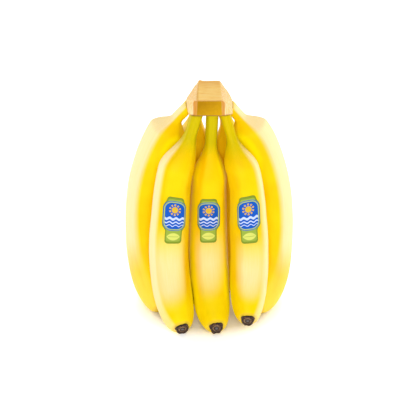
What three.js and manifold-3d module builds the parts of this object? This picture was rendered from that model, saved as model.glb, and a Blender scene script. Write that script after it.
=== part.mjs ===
/**
 * A bunch of seven bananas: one cut crown, three fingers in front, one at each side and two behind,
 * each with its dried blossom end, and a small plain label on each front finger.
 *
 * Millimetres, +Z up. The bunch stands on its finger ends with the crown on top, and -Y is its front.
 * Left is -X, as someone in front of the bunch sees it.
 */
import * as THREE from "three";
import { ConvexGeometry } from "three/addons/geometries/ConvexGeometry.js";
import { mergeVertices } from "three/addons/utils/BufferGeometryUtils.js";
import Module from "manifold-3d";

const { smoothstep, clamp, lerp, degToRad } = THREE.MathUtils;
const solids = await Module();
solids.setup();

// Clearance left between neighbouring solids.
const GAP = 0.3;

// What every finger shares.
const PEEL = {
  sides: 20, // facets round a finger, four to each of its five faces
  tipRadius: 6.6,
  swellLength: 70, // from the shoulder's end to the full girth
  ridges: 5,
  ridgeSharpness: 14,
  ridgeShare: 0.42, // 0 is a round section, 1 a five-sided one
};

// Each finger: the middle of its neck where it leaves the crown, how far neck and body lean along X and Y
// for each millimetre of drop, and where the end points, in degrees from straight down and from the front
// towards +X. lag holds the bend back towards the end, hump is the bulge of the outer shoulder with the
// distances where it starts, peaks and ends, sunk is the length of neck inside the crown, and roll turns
// the ridges, in degrees. firstGirth is the girth just below the shoulder as a share of the full girth, and
// taperLength the stretch over which the end closes.
const USUAL = {
  neckRadius: 5.6,
  neckLength: 26,
  shoulderLength: 36,
  firstGirth: 0.95,
  taperLength: 46,
  sunk: 0,
};

const FINGERS = [
  {
    name: "front_middle",
    root: [2.6, -5.9, 196.6],
    neckLean: [-0.04, 0.1],
    bodyLean: [0.02, -0.42],
    tipAim: [74.8, 9.2],
    length: 214,
    girth: 18.2,
    lag: 2,
    neckLength: 27.4,
    shoulderLength: 37.9,
    firstGirth: 0.89,
    taperLength: 62,
    sunk: 7,
    roll: 25,
    label: { along: 102.4, round: 1, height: 46 },
  },
  {
    name: "front_left",
    root: [-9.3, -7.1, 202.4],
    neckLean: [-0.33, -0.17],
    bodyLean: [0.13, 0.086],
    tipAim: [66, 17.1],
    length: 214.3,
    girth: 18.1,
    lag: 2.04,
    hump: { height: 4.1, start: 30, peak: 58.5, end: 112 },
    neckLength: 21.2,
    shoulderLength: 38.6,
    firstGirth: 0.893,
    taperLength: 52,
    roll: 32,
    label: { along: 103, round: -10, height: 45 },
  },
  {
    name: "front_right",
    root: [14.2, -6.6, 196.7],
    neckLean: [0.28, -0.18],
    bodyLean: [-0.15, 0.082],
    tipAim: [68.8, -1.8],
    length: 198.9,
    girth: 17.6,
    lag: 2.19,
    hump: { height: 4, start: 30, peak: 56.7, end: 112 },
    neckRadius: 4.9,
    neckLength: 19.4,
    shoulderLength: 32.4,
    firstGirth: 0.85,
    taperLength: 59,
    sunk: 2,
    roll: 22,
    label: { along: 96.5, round: -1, height: 45 },
  },
  {
    name: "side_left",
    root: [-12.6, 4.7, 205.7],
    neckLean: [-0.7, 0.16],
    bodyLean: [-0.186, 0.266],
    tipAim: [57.8, 28.6],
    length: 227,
    girth: 17.9,
    lag: 1.11,
    hump: { height: 5.9, start: -12, peak: 45.2, end: 158 },
    neckLength: 24.3,
    shoulderLength: 17,
    roll: 26,
  },
  {
    name: "side_right",
    root: [11.5, 4.4, 205.4],
    neckLean: [0.505, 0.11],
    bodyLean: [0.088, 0.001],
    tipAim: [67.4, -34.2],
    length: 223.5,
    girth: 17.8,
    lag: 1.87,
    hump: { height: 11.4, start: -18.5, peak: 53, end: 172.6 },
    neckLength: 21.2,
    shoulderLength: 16.7,
    roll: -27,
  },
  {
    name: "back_left",
    root: [-8.4, 13, 210.1],
    neckLean: [-0.2, 0.51],
    bodyLean: [-0.03, 0],
    tipAim: [27, 7.5],
    length: 214.6,
    girth: 17.3,
    lag: 1.02,
    roll: 12,
  },
  {
    name: "back_right",
    root: [7.2, 14.3, 205.2],
    neckLean: [0.4, 0.5],
    bodyLean: [-0.17, 0.01],
    tipAim: [27, -10],
    length: 209.8,
    girth: 17.2,
    lag: 1,
    sunk: 3,
    roll: -15,
  },
];

// The crown's corners, in pairs: left X, right X, Y and Z.
const CROWN_CORNERS = {
  cutFaceFront: [-11.2, 10.8, -14.4, 212.2],
  cutFaceBack: [-10, 9.6, 19, 219.8],
  skinFoot: [-11.6, 11.2, -15.6, 198.4],
  cheekTop: [-14, 13.2, -12.2, 211.4],
  cheekFoot: [-15, 14, -13.6, 197.6],
  neckFoot: [-18.8, 20.8, -10.3, 197.8],
  sideTop: [-21.3, 20.6, 5, 206.9],
  sideFoot: [-19.6, 20.6, -2, 197.3],
  backTop: [-18, 18, 17, 208],
  backFoot: [-14, 14, 22, 200],
};

// The dried blossom end: a ragged rim round a sunken ring and a raised middle.
const BLOSSOM = {
  sides: 14,
  height: 2.2,
  baseRadius: 5.8,
  rimRadius: 6.3,
  grooveRadius: 3.6,
  coreRadius: 1.9,
};

const LABEL = {
  width: 22,
  cornerRadius: 4,
  lift: 0.7, // clear of the facets of the peel beneath
  thickness: 0.4,
  across: 12, // faces
  down: 12,
};

const MATERIALS = {
  peel: { color: 0xf9d423, roughness: 0.45 },
  crown: { color: 0xe9b968, roughness: 0.8 },
  blossom: { color: 0x3a241a, roughness: 0.9 },
  label: { color: 0x2f7fd0, roughness: 0.4 },
};

// The middle of the bunch's plan, which the frame's origin stands under.
const PLAN_CENTRE = { x: -0.45, y: -6.3 };

/** A unit vector straight down that leans by x and y for each unit of drop. */
function leaning([x, y]) {
  return new THREE.Vector3(x, y, -1).normalize();
}

/** The way a finger's end points. */
function aimed([fromDown, towardsX]) {
  return new THREE.Vector3(0, 0, -1)
    .applyAxisAngle(new THREE.Vector3(1, 0, 0), -degToRad(fromDown))
    .applyAxisAngle(new THREE.Vector3(0, 0, 1), degToRad(towardsX));
}

/** The bent line down the middle of a finger, with a frame that doesn't twist about it. */
class FingerLine {
  constructor(finger) {
    this.finger = { ...USUAL, ...finger };
    this.neck = leaning(this.finger.neckLean);
    this.body = leaning(this.finger.bodyLean);
    this.tip = aimed(this.finger.tipAim);
    this.step = 1;
    this.frames = this.march();
  }

  directionAt(s) {
    const t = clamp(s / this.finger.length, 0, 1) ** this.finger.lag;
    return new THREE.Vector3()
      .addScaledVector(this.neck, (1 - t) ** 2)
      .addScaledVector(this.body, 2 * t * (1 - t))
      .addScaledVector(this.tip, t ** 2)
      .normalize();
  }

  march() {
    const { root, sunk, length } = this.finger;
    const point = new THREE.Vector3(...root).addScaledVector(this.neck, -sunk);
    const front = new THREE.Vector3(0, -1, 0);
    const frames = [];
    for (let s = -sunk; s <= length + this.step; s += this.step) {
      const ahead = this.directionAt(s);
      front.addScaledVector(ahead, -front.dot(ahead)).normalize();
      frames.push({ point: point.clone(), ahead, front: front.clone() });
      point.addScaledVector(this.directionAt(s + this.step / 2), this.step);
    }
    return frames;
  }

  /** Point, ahead, front and side at the distance s below the neck's root. */
  at(s) {
    const place = (s + this.finger.sunk) / this.step;
    const before = clamp(Math.floor(place), 0, this.frames.length - 2);
    const a = this.frames[before];
    const b = this.frames[before + 1];
    const share = place - before;
    const ahead = a.ahead.clone().lerp(b.ahead, share).normalize();
    const front = a.front.clone().lerp(b.front, share).normalize();
    const side = new THREE.Vector3().crossVectors(ahead, front);
    const point = a.point.clone().lerp(b.point, share).add(this.humpAt(s, ahead));
    return { point, ahead, front, side };
  }

  humpAt(s, ahead) {
    const { hump, neckLean } = this.finger;
    if (!hump) {
      return new THREE.Vector3();
    }
    const rise = smoothstep(s, hump.start, hump.peak) * (1 - smoothstep(s, hump.peak, hump.end));
    const outward = new THREE.Vector3(...neckLean, 0).normalize();
    outward.addScaledVector(ahead, -outward.dot(ahead)).normalize();
    return outward.multiplyScalar(hump.height * rise);
  }

  radiusAt(s) {
    const { girth, length, neckLength, shoulderLength } = this.finger;
    const { neckRadius, firstGirth, taperLength } = this.finger;
    const shoulderEnd = neckLength + shoulderLength;
    const swell = smoothstep(s, shoulderEnd, shoulderEnd + PEEL.swellLength);
    const body = girth * lerp(firstGirth, 1, swell);
    const upper = lerp(neckRadius, body, smoothstep(s, neckLength, shoulderEnd));
    const left = clamp((length - s) / taperLength, 0, 1);
    const closing = (1 - (1 - left) ** 2.8) ** 0.6;
    return Math.min(upper, lerp(PEEL.tipRadius, girth, closing));
  }

  /** The surface point at distance s and an angle round the finger, from its front towards -X. */
  surface(s, angle, lift = 0) {
    const { point, front, side } = this.at(s);
    const radius = this.radiusAt(s) * ridgeFactor(angle - degToRad(this.finger.roll)) + lift;
    return point
      .addScaledVector(front, radius * Math.cos(angle))
      .addScaledVector(side, radius * Math.sin(angle));
  }
}

/** A rounded five-sided section about a radius of 1, with a ridge at angle 0. */
function ridgeFactor(angle) {
  const { ridges, ridgeSharpness, ridgeShare } = PEEL;
  let sum = 0;
  for (let k = 0; k < ridges; k += 1) {
    const facing = Math.cos(angle - (2 * Math.PI * (k + 0.5)) / ridges);
    sum += Math.max(facing, 0) ** ridgeSharpness;
  }
  const polygon = sum ** (-1 / ridgeSharpness);
  const meanPolygon = 1.068;
  return lerp(1, polygon / meanPolygon, ridgeShare);
}

/** Distances of the rings along a finger, close together where its outline turns. */
function ringDistances({ sunk, length, neckLength, shoulderLength, taperLength }) {
  const shoulderEnd = neckLength + shoulderLength;
  const taperStart = length - taperLength;
  const rings = [-sunk, neckLength / 2, neckLength];
  const shoulderSteps = 6;
  for (let k = 1; k <= shoulderSteps; k += 1) {
    rings.push(neckLength + (shoulderLength * k) / shoulderSteps);
  }
  const bodySteps = 11;
  for (let k = 1; k <= bodySteps; k += 1) {
    rings.push(lerp(shoulderEnd, taperStart, k / bodySteps));
  }
  const taperSteps = 9;
  for (let k = 1; k <= taperSteps; k += 1) {
    rings.push(length - taperLength * (1 - k / taperSteps) ** 1.7);
  }
  return rings;
}

function toSolid(geometry) {
  const bare = geometry.clone();
  bare.deleteAttribute("normal");
  bare.deleteAttribute("uv");
  const merged = mergeVertices(bare, 1e-4);
  return new solids.Manifold(
    new solids.Mesh({
      numProp: 3,
      vertProperties: new Float32Array(merged.attributes.position.array),
      triVerts: new Uint32Array(merged.index.array),
    }),
  );
}

function toGeometry(solid) {
  const mesh = solid.getMesh();
  const geometry = new THREE.BufferGeometry();
  geometry.setAttribute("position", new THREE.BufferAttribute(mesh.vertProperties, mesh.numProp));
  geometry.setIndex(new THREE.BufferAttribute(mesh.triVerts, 1));
  geometry.computeVertexNormals();
  return geometry;
}

/** What lies below the surface that the bunch stands on, which the fruit is pressed flat against. */
function floorSolid() {
  const size = 400;
  const depth = 40;
  return toSolid(new THREE.BoxGeometry(size, size, depth).translate(0, 0, -depth / 2));
}

function crownGeometry(growth = 0) {
  const corners = Object.values(CROWN_CORNERS).flatMap(([left, right, y, z]) => [
    new THREE.Vector3(left, y, z),
    new THREE.Vector3(right, y, z),
  ]);
  const middle = corners
    .reduce((sum, corner) => sum.add(corner), new THREE.Vector3())
    .divideScalar(corners.length);
  const grown = corners.map((corner) => {
    const outward = corner.clone().sub(middle).normalize();
    return corner.clone().addScaledVector(outward, growth);
  });
  return new ConvexGeometry(grown);
}

function fingerGeometry(line, crownRoom, floor) {
  const rings = ringDistances(line.finger);
  const profile = rings.map((s) => new THREE.Vector2(line.radiusAt(s), s));
  profile.unshift(new THREE.Vector2(0, rings[0]));
  profile.push(new THREE.Vector2(0, line.finger.length));
  const geometry = new THREE.LatheGeometry(profile, PEEL.sides);
  const place = geometry.attributes.position;
  const roll = degToRad(line.finger.roll);
  for (let i = 0; i < place.count; i += 1) {
    const across = Math.hypot(place.getX(i), place.getZ(i));
    const angle = Math.atan2(place.getX(i), place.getZ(i)) + roll;
    const s = place.getY(i);
    const bent = across < 1e-6 ? line.at(s).point : line.surface(s, angle);
    place.setXYZ(i, bent.x, bent.y, bent.z);
  }
  return toGeometry(toSolid(geometry).subtract(crownRoom).subtract(floor));
}

function blossomGeometry(line, floor) {
  const { sides, height, baseRadius, rimRadius, grooveRadius, coreRadius } = BLOSSOM;
  const profile = [
    [0, 0],
    [baseRadius, 0],
    [rimRadius, height * 0.45],
    [rimRadius * 0.9, height],
    [grooveRadius + 0.7, height * 0.95],
    [grooveRadius, height * 0.55],
    [coreRadius, height * 0.6],
    [coreRadius * 0.7, height * 0.95],
    [0, height],
  ].map(([r, y]) => new THREE.Vector2(r, y));
  const { point, ahead, front, side } = line.at(line.finger.length);
  const matrix = new THREE.Matrix4()
    .makeBasis(side, ahead, front)
    .setPosition(point.addScaledVector(ahead, GAP));
  const geometry = new THREE.LatheGeometry(profile, sides).applyMatrix4(matrix);
  return toGeometry(toSolid(geometry).subtract(floor));
}

/** Half the label's width at a distance from its middle, with round corners. */
function labelHalfWidth(fromMiddle, height) {
  const { width, cornerRadius } = LABEL;
  const intoCorner = Math.max(0, Math.abs(fromMiddle) - (height / 2 - cornerRadius));
  const cut = cornerRadius - Math.sqrt(Math.max(0, cornerRadius ** 2 - intoCorner ** 2));
  return width / 2 - cut;
}

function labelGeometry(line) {
  const { along, round, height } = line.finger.label;
  const geometry = new THREE.BoxGeometry(1, 1, 1, LABEL.across, 1, LABEL.down);
  const place = geometry.attributes.position;
  for (let i = 0; i < place.count; i += 1) {
    const down = -place.getZ(i) * height;
    const sideways = 2 * place.getX(i) * labelHalfWidth(down, height);
    const s = along + down;
    const angle = degToRad(round) + sideways / line.radiusAt(s);
    const lift = LABEL.lift + (place.getY(i) + 0.5) * LABEL.thickness;
    const bent = line.surface(s, angle, lift);
    place.setXYZ(i, bent.x, bent.y, bent.z);
  }
  return toGeometry(toSolid(geometry));
}

function named(name, geometry, { color, roughness }) {
  const material = new THREE.MeshStandardMaterial({ color, roughness, metalness: 0 });
  const mesh = new THREE.Mesh(geometry, material);
  mesh.name = name;
  return mesh;
}

function buildBunch() {
  const bunch = new THREE.Group();
  const floor = floorSolid();
  const crownRoom = toSolid(crownGeometry(2 * GAP));
  bunch.add(named("crown", crownGeometry(), MATERIALS.crown));
  for (const finger of FINGERS) {
    const line = new FingerLine(finger);
    const fruit = fingerGeometry(line, crownRoom, floor);
    bunch.add(named(`finger_${finger.name}`, fruit, MATERIALS.peel));
    bunch.add(named(`blossom_end_${finger.name}`, blossomGeometry(line, floor), MATERIALS.blossom));
    if (finger.label) {
      bunch.add(named(`label_${finger.name}`, labelGeometry(line), MATERIALS.label));
    }
  }
  bunch.position.set(-PLAN_CENTRE.x, -PLAN_CENTRE.y, 0);
  return bunch;
}

export default buildBunch();
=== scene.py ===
"""A bunch of seven bananas, dressed for close views.

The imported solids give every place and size. The crown and each finger, dried blossom end and label
are made again here as fine meshes from the same named sizes, and each stands for its solid.

Sizes are millimetres in the classes below and metres in Blender. +Z is up, -Y is the front of the
bunch, and left is -X.
"""

from __future__ import annotations

import logging
import math
from collections.abc import Sequence
from dataclasses import dataclass
from enum import Enum

import bmesh
import bpy
import numpy as np
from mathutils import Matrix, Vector, noise

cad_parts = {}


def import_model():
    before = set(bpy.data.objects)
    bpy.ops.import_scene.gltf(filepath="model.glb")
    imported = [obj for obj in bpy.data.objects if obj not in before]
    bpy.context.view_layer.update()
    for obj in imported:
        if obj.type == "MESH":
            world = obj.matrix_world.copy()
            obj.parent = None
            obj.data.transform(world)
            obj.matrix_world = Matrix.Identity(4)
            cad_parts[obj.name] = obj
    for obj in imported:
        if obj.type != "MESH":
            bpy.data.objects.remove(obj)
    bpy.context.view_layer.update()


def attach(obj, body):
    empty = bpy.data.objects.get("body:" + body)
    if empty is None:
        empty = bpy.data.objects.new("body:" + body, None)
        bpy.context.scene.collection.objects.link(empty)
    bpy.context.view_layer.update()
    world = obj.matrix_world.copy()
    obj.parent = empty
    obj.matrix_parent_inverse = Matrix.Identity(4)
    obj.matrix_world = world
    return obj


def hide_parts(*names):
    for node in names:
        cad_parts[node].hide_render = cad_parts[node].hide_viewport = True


LOG = logging.getLogger("bunch")

MM = 0.001

# The bunch is laid out about its crown, and its origin stands under the middle of its plan.
CROWN_TO_ORIGIN = np.array([0.45, 6.3, 0.0])

# How far one step of a seed moves a noise's pattern.
SEED_SHIFT = 17.3

Pair = tuple[float, float]
Triple = tuple[float, float, float]
Quadruple = tuple[float, float, float, float]
Rows = np.ndarray
Socket = bpy.types.NodeSocket
SocketInput = bpy.types.NodeSocket | float | tuple[float, ...]


def linear(code: str) -> Quadruple:
    """Turns an sRGB hex colour into Blender's linear colour.

    Args:
        code: The colour, such as "#F7CE17".

    Returns:
        Red, green, blue and an alpha of 1.
    """
    channels = [int(code[i : i + 2], 16) / 255 for i in (1, 3, 5)]
    r, g, b = (c / 12.92 if c <= 0.04045 else ((c + 0.055) / 1.055) ** 2.4 for c in channels)
    return (r, g, b, 1.0)


def ease(value: Rows | float, start: float, end: float) -> Rows:
    """A smooth step from 0 at start to 1 at end.

    Args:
        value: Where to read the step.
        start: Where it leaves 0.
        end: Where it reaches 1.

    Returns:
        The step's height, from 0 to 1.
    """
    t = np.clip((np.asarray(value, float) - start) / (end - start), 0.0, 1.0)
    return t * t * (3 - 2 * t)


def unit(rows: Rows | Sequence[float]) -> Rows:
    """Scales each row to a length of 1."""
    rows = np.asarray(rows, float)
    return rows / np.linalg.norm(rows, axis=-1, keepdims=True)


def soft_noise(points: Rows, grain: float | Triple, seed: float) -> Rows:
    """Smooth noise from about -1 to 1.

    Args:
        points: Places in millimetres, one to a row.
        grain: The size of its lumps in millimetres, or their sizes along X, Y and Z.
        seed: Shifts the pattern, so that pieces differ.

    Returns:
        One value for each row.
    """
    places = np.asarray(points, float).reshape(-1, 3) / grain + seed * SEED_SHIFT
    return np.array([noise.noise(Vector(place)) for place in places])


def add_node(
    tree: bpy.types.NodeTree,
    kind: str,
    inputs: dict[str | int, SocketInput] | None = None,
    **settings: object,
) -> bpy.types.Node:
    """Adds one node to a tree with its settings, values and links.

    Args:
        tree: The tree it goes in.
        kind: The node's Blender type.
        inputs: A value or an output socket for each input, by its name or its number.
        settings: Attributes of the node itself, such as operation.

    Returns:
        The node.
    """
    node = tree.nodes.new(kind)
    for name, value in settings.items():
        setattr(node, name, value)
    for key, value in (inputs or {}).items():
        if isinstance(value, bpy.types.NodeSocket):
            tree.links.new(value, node.inputs[key])
        else:
            node.inputs[key].default_value = value
    return node


def ramp_stops(node: bpy.types.Node, stops: Sequence[tuple[float, str]]) -> None:
    """Sets a colour ramp's stops.

    Args:
        node: The colour ramp.
        stops: A position from 0 to 1 and a hex colour for each stop.
    """
    elements = node.color_ramp.elements
    while len(elements) < len(stops):
        elements.new(0.5)
    for element, (position, code) in zip(elements, stops, strict=True):
        element.position = position
        element.color = linear(code)


def new_material(name: str) -> tuple[bpy.types.Material, bpy.types.NodeTree, bpy.types.Node]:
    """Makes an empty node material.

    Args:
        name: The material's name.

    Returns:
        The material, its tree and its output node.
    """
    material = bpy.data.materials.new(name)
    material.use_nodes = True
    tree = material.node_tree
    tree.nodes.clear()
    return material, tree, tree.nodes.new("ShaderNodeOutputMaterial")


def paint_over(
    tree: bpy.types.NodeTree,
    colour: SocketInput,
    layers: Sequence[tuple[Socket, Socket | str]],
) -> Socket:
    """Lays colours over one another.

    Args:
        tree: The tree of the material they are in.
        colour: The lowest colour.
        layers: How much of it each next layer covers, from 0 to 1, and the layer's colour.

    Returns:
        The colour that is seen.
    """
    for share, over in layers:
        paint = linear(over) if isinstance(over, str) else over
        colour = add_node(
            tree, "ShaderNodeMix", {0: share, 6: colour, 7: paint}, data_type="RGBA"
        ).outputs[2]
    return colour


def mesh_object(
    name: str,
    points: Rows,
    faces: Sequence[Sequence[int]],
    values: dict[str, Rows] | None = None,
) -> bpy.types.Object:
    """Makes a smooth mesh object at the frame's origin.

    Args:
        name: The object's name.
        points: Vertices in millimetres, one to a row.
        faces: Vertex numbers of each face.
        values: A number or a vector for each vertex, by the name that materials read it with.

    Returns:
        The object, linked to the scene.
    """
    mesh = bpy.data.meshes.new(name)
    mesh.from_pydata((np.asarray(points) * MM).tolist(), [], [list(face) for face in faces])
    mesh.update()
    for key, rows in (values or {}).items():
        rows = np.asarray(rows, np.float32)
        if rows.ndim == 1:
            mesh.attributes.new(key, "FLOAT", "POINT").data.foreach_set("value", rows)
        else:
            vectors = mesh.attributes.new(key, "FLOAT_VECTOR", "POINT")
            vectors.data.foreach_set("vector", rows.ravel())
    mesh.shade_smooth()
    thing = bpy.data.objects.new(name, mesh)
    bpy.context.scene.collection.objects.link(thing)
    return thing


def tube_faces(rings: int, sides: int) -> list[tuple[int, ...]]:
    """Faces of a closed tube whose vertices come ring by ring, then its two end points.

    Args:
        rings: How many rings it has.
        sides: How many vertices a ring has.

    Returns:
        Quads along the tube and triangles over its ends.
    """
    faces: list[tuple[int, ...]] = []
    for ring in range(rings - 1):
        a, b = ring * sides, (ring + 1) * sides
        for k in range(sides):
            n = (k + 1) % sides
            faces.append((a + k, a + n, b + n, b + k))
    first, last = rings * sides, rings * sides + 1
    for k in range(sides):
        n = (k + 1) % sides
        faces.append((first, n, k))
        faces.append((last, (rings - 1) * sides + k, (rings - 1) * sides + n))
    return faces


def angles_round(sides: int) -> Rows:
    """Even angles round a tube, one to a side."""
    return np.arange(sides) * 2 * math.pi / sides


def read_along(at: Rows, line: Rows, rows: Rows) -> Rows:
    """Reads rows of three between the distances they belong to.

    Args:
        at: Distances to read at.
        line: The rows' own distances.
        rows: Places or directions, one to a row.

    Returns:
        A row for each distance in at.
    """
    return np.stack([np.interp(at, line, rows[:, k]) for k in range(3)], -1)


def vertex_normals(points: Rows, faces: Sequence[Sequence[int]]) -> Rows:
    """Outward directions at the vertices of a closed mesh of quads.

    Args:
        points: The vertices, one to a row.
        faces: Vertex numbers of each quad.

    Returns:
        A unit vector for each vertex.
    """
    quads = np.array(faces)
    a, b, c, d = (points[quads[:, k]] for k in range(4))
    across = np.cross(c - a, d - b)
    total = np.zeros_like(points)
    for k in range(4):
        np.add.at(total, quads[:, k], across)
    return unit(total)


# ------------------------------------------------------------------------------------------------
# Finishes
# ------------------------------------------------------------------------------------------------


@dataclass(frozen=True)
class BananaPeel:
    """Ripe banana peel: a waxy skin, smooth and satin, deep yellow with a green neck.

    The wax gives broad soft highlights, and the fibres under it faint streaks along the fruit.
    A cream highlight is painted over the yellow on the outer flanks and the lower bellies.
    Between two fingers the peel is duller, painted shade browns the seams and painted light turns
    the yellow lemon beside them; the yellow also goes lemon towards the end.
    """

    ripe: str = "#F9CF04"
    ripe_deep: str = "#F7C702"
    ripe_pale: str = "#FBD610"
    # Painted highlight: the cream laid over the flanks and lower bellies.
    painted_highlight_cream: str = "#FDE5AE"
    # Painted light: lemon where a neighbour shades the seam, and the tint towards the end.
    lemon: str = "#FFEA02"
    # Painted shade in the seams between fingers.
    seam_shade_brown: str = "#4E2A02"
    neck_green: str = "#C8B602"
    join_brown: str = "#8E6A1E"
    tip_tan: str = "#D8B04A"
    fleck_brown: str = "#9A6A16"
    bruise: str = "#D6A808"
    wax: str = "#FFF0B0"  # tints what the wax reflects

    patch_size: float = 28.0  # mm
    fibre_width: float = 0.9  # mm, across the finger
    fibre_length: float = 22.0  # mm
    fibre_depth: float = 0.10
    ridge_depth: float = 0.16
    # How much of the painted highlight is left along some of the fibres.
    highlight_along_fibres: float = 0.86
    green_raggedness: float = 0.15
    # How far the painted seam shade covers the yellow.
    seam_shade_depth: float = 0.9
    fleck_spacing: float = 7.0  # mm
    fleck_reach: float = 0.07  # of the spacing
    fleck_depth: float = 0.55
    pore_size: float = 0.7  # mm
    relief: float = 0.12  # mm
    roughness: float = 0.46
    roughness_swing: float = 0.04
    shelter_dullness: float = 0.5

    def material(self) -> bpy.types.Material:
        """Builds the peel's material.

        Returns:
            A material that reads a finger's values: straight, green, join, tip, ridge, the painted
            highlight, seam, and the painted seam light with the lemon end.
        """
        material, tree, output = new_material("banana_peel_waxy")
        place = add_node(tree, "ShaderNodeAttribute", attribute_name="straight").outputs["Vector"]
        green, join, tip, ridge, bloom, seam, late = (
            add_node(tree, "ShaderNodeAttribute", attribute_name=name).outputs["Fac"]
            for name in ("green", "join", "tip", "ridge", "bloom", "seam", "late")
        )

        # Broad patches, a little deeper or paler.
        patches = add_node(
            tree,
            "ShaderNodeTexNoise",
            {"Vector": place, "Scale": 1 / self.patch_size, "Detail": 2.0, "Roughness": 0.5},
        ).outputs["Fac"]
        body = add_node(tree, "ShaderNodeValToRGB", {"Fac": patches})
        ramp_stops(body, [(0.3, self.ripe_deep), (0.5, self.ripe), (0.75, self.ripe_pale)])

        # Fibres run along the fruit.
        thin = 1 / self.fibre_width
        stretched = add_node(
            tree,
            "ShaderNodeMapping",
            {"Vector": place, "Scale": (thin, thin, 1 / self.fibre_length)},
        ).outputs["Vector"]
        fibres = add_node(
            tree, "ShaderNodeTexNoise", {"Vector": stretched, "Scale": 1.0, "Detail": 3.0}
        ).outputs["Fac"]
        pores = add_node(
            tree,
            "ShaderNodeTexNoise",
            {"Vector": place, "Scale": 1 / self.pore_size, "Detail": 2.0},
        ).outputs["Fac"]

        # Small brown flecks, in some of the cells that the peel is divided into.
        cells = add_node(
            tree,
            "ShaderNodeTexVoronoi",
            {"Vector": place, "Scale": 1 / self.fleck_spacing, "Randomness": 1.0},
        )
        size = add_node(
            tree, "ShaderNodeSeparateColor", {"Color": cells.outputs["Color"]}
        ).outputs["Red"]

        # What is read, from where to where, and what it turns into there.
        low, high = self.roughness - self.roughness_swing, self.roughness + self.roughness_swing
        streaks, highlight_breakup, ragged, painted_seam_shade, sheltered, dullness, reach = (
            add_node(
                tree, "ShaderNodeMapRange", {"Value": value, 1: start, 2: end, 3: first, 4: last}
            ).outputs["Result"]
            for value, start, end, first, last in (
                (fibres, 0.45, 0.75, 0.0, self.fibre_depth),
                (fibres, 0.35, 0.65, 1.0, self.highlight_along_fibres),
                (fibres, 0.3, 0.7, -self.green_raggedness, self.green_raggedness),
                (seam, 0.89, 0.945, 0.0, self.seam_shade_depth),
                (seam, 0.4, 0.95, 0.0, self.shelter_dullness),
                (patches, 0.3, 0.7, low, high),
                (size, 0.55, 1.0, 0.0, self.fleck_reach),
            )
        )
        ridge_share, painted_highlight_share, inside, dull, relief = (
            add_node(
                tree, "ShaderNodeMath", {0: one, 1: other}, operation=operation, use_clamp=clamp
            ).outputs[0]
            for operation, one, other, clamp in (
                ("MULTIPLY", ridge, self.ridge_depth, False),
                ("MULTIPLY", highlight_breakup, bloom, False),
                ("SUBTRACT", reach, cells.outputs["Distance"], False),
                ("ADD", dullness, sheltered, True),
                ("ADD", pores, fibres, False),
            )
        )
        fleck = add_node(
            tree,
            "ShaderNodeMapRange",
            {"Value": inside, 1: 0.0, 2: 0.05, 3: 0.0, 4: self.fleck_depth},
        ).outputs["Result"]
        green_edge = add_node(
            tree, "ShaderNodeMath", {0: green, 1: ragged}, operation="ADD", use_clamp=True
        ).outputs[0]
        green_share = add_node(
            tree, "ShaderNodeMath", {0: green_edge, 1: green}, operation="MULTIPLY", use_clamp=True
        ).outputs[0]

        layers = [
            (streaks, self.bruise),
            (ridge_share, self.bruise),  # ridges are rubbed a little darker
            # Painted light, lemon where a neighbour shades the peel; also a lemon tint towards the
            # end.
            (late, self.lemon),
            # Painted highlight in cream, thinner along some of the fibres.
            (painted_highlight_share, self.painted_highlight_cream),  # thinner along some of the fibres
            (green_share, self.neck_green),
            (join, self.join_brown),
            # Painted shade, dark brown in the seams where two fingers lie close.
            (painted_seam_shade, self.seam_shade_brown),
            (tip, self.tip_tan),  # a dry collar by the blossom end
            (fleck, self.fleck_brown),
        ]
        colour = paint_over(tree, body.outputs["Color"], layers)
        bump = add_node(
            tree,
            "ShaderNodeBump",
            {"Height": relief, "Strength": 0.12, "Distance": self.relief * MM},
        ).outputs["Normal"]
        shader = add_node(
            tree,
            "ShaderNodeBsdfPrincipled",
            {
                "Base Color": colour,
                "Roughness": dull,
                "Normal": bump,
                "IOR": 1.42,
                "Specular IOR Level": 0.1,
                "Specular Tint": linear(self.wax),
                "Coat Weight": 0.03,
                "Coat Roughness": 0.3,
                "Coat IOR": 1.45,
                "Subsurface Weight": 0.04,
                "Subsurface Radius": (1.0, 0.55, 0.08),
                "Subsurface Scale": 2.0 * MM,
            },
        )
        tree.links.new(shader.outputs["BSDF"], output.inputs["Surface"])
        return material


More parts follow.
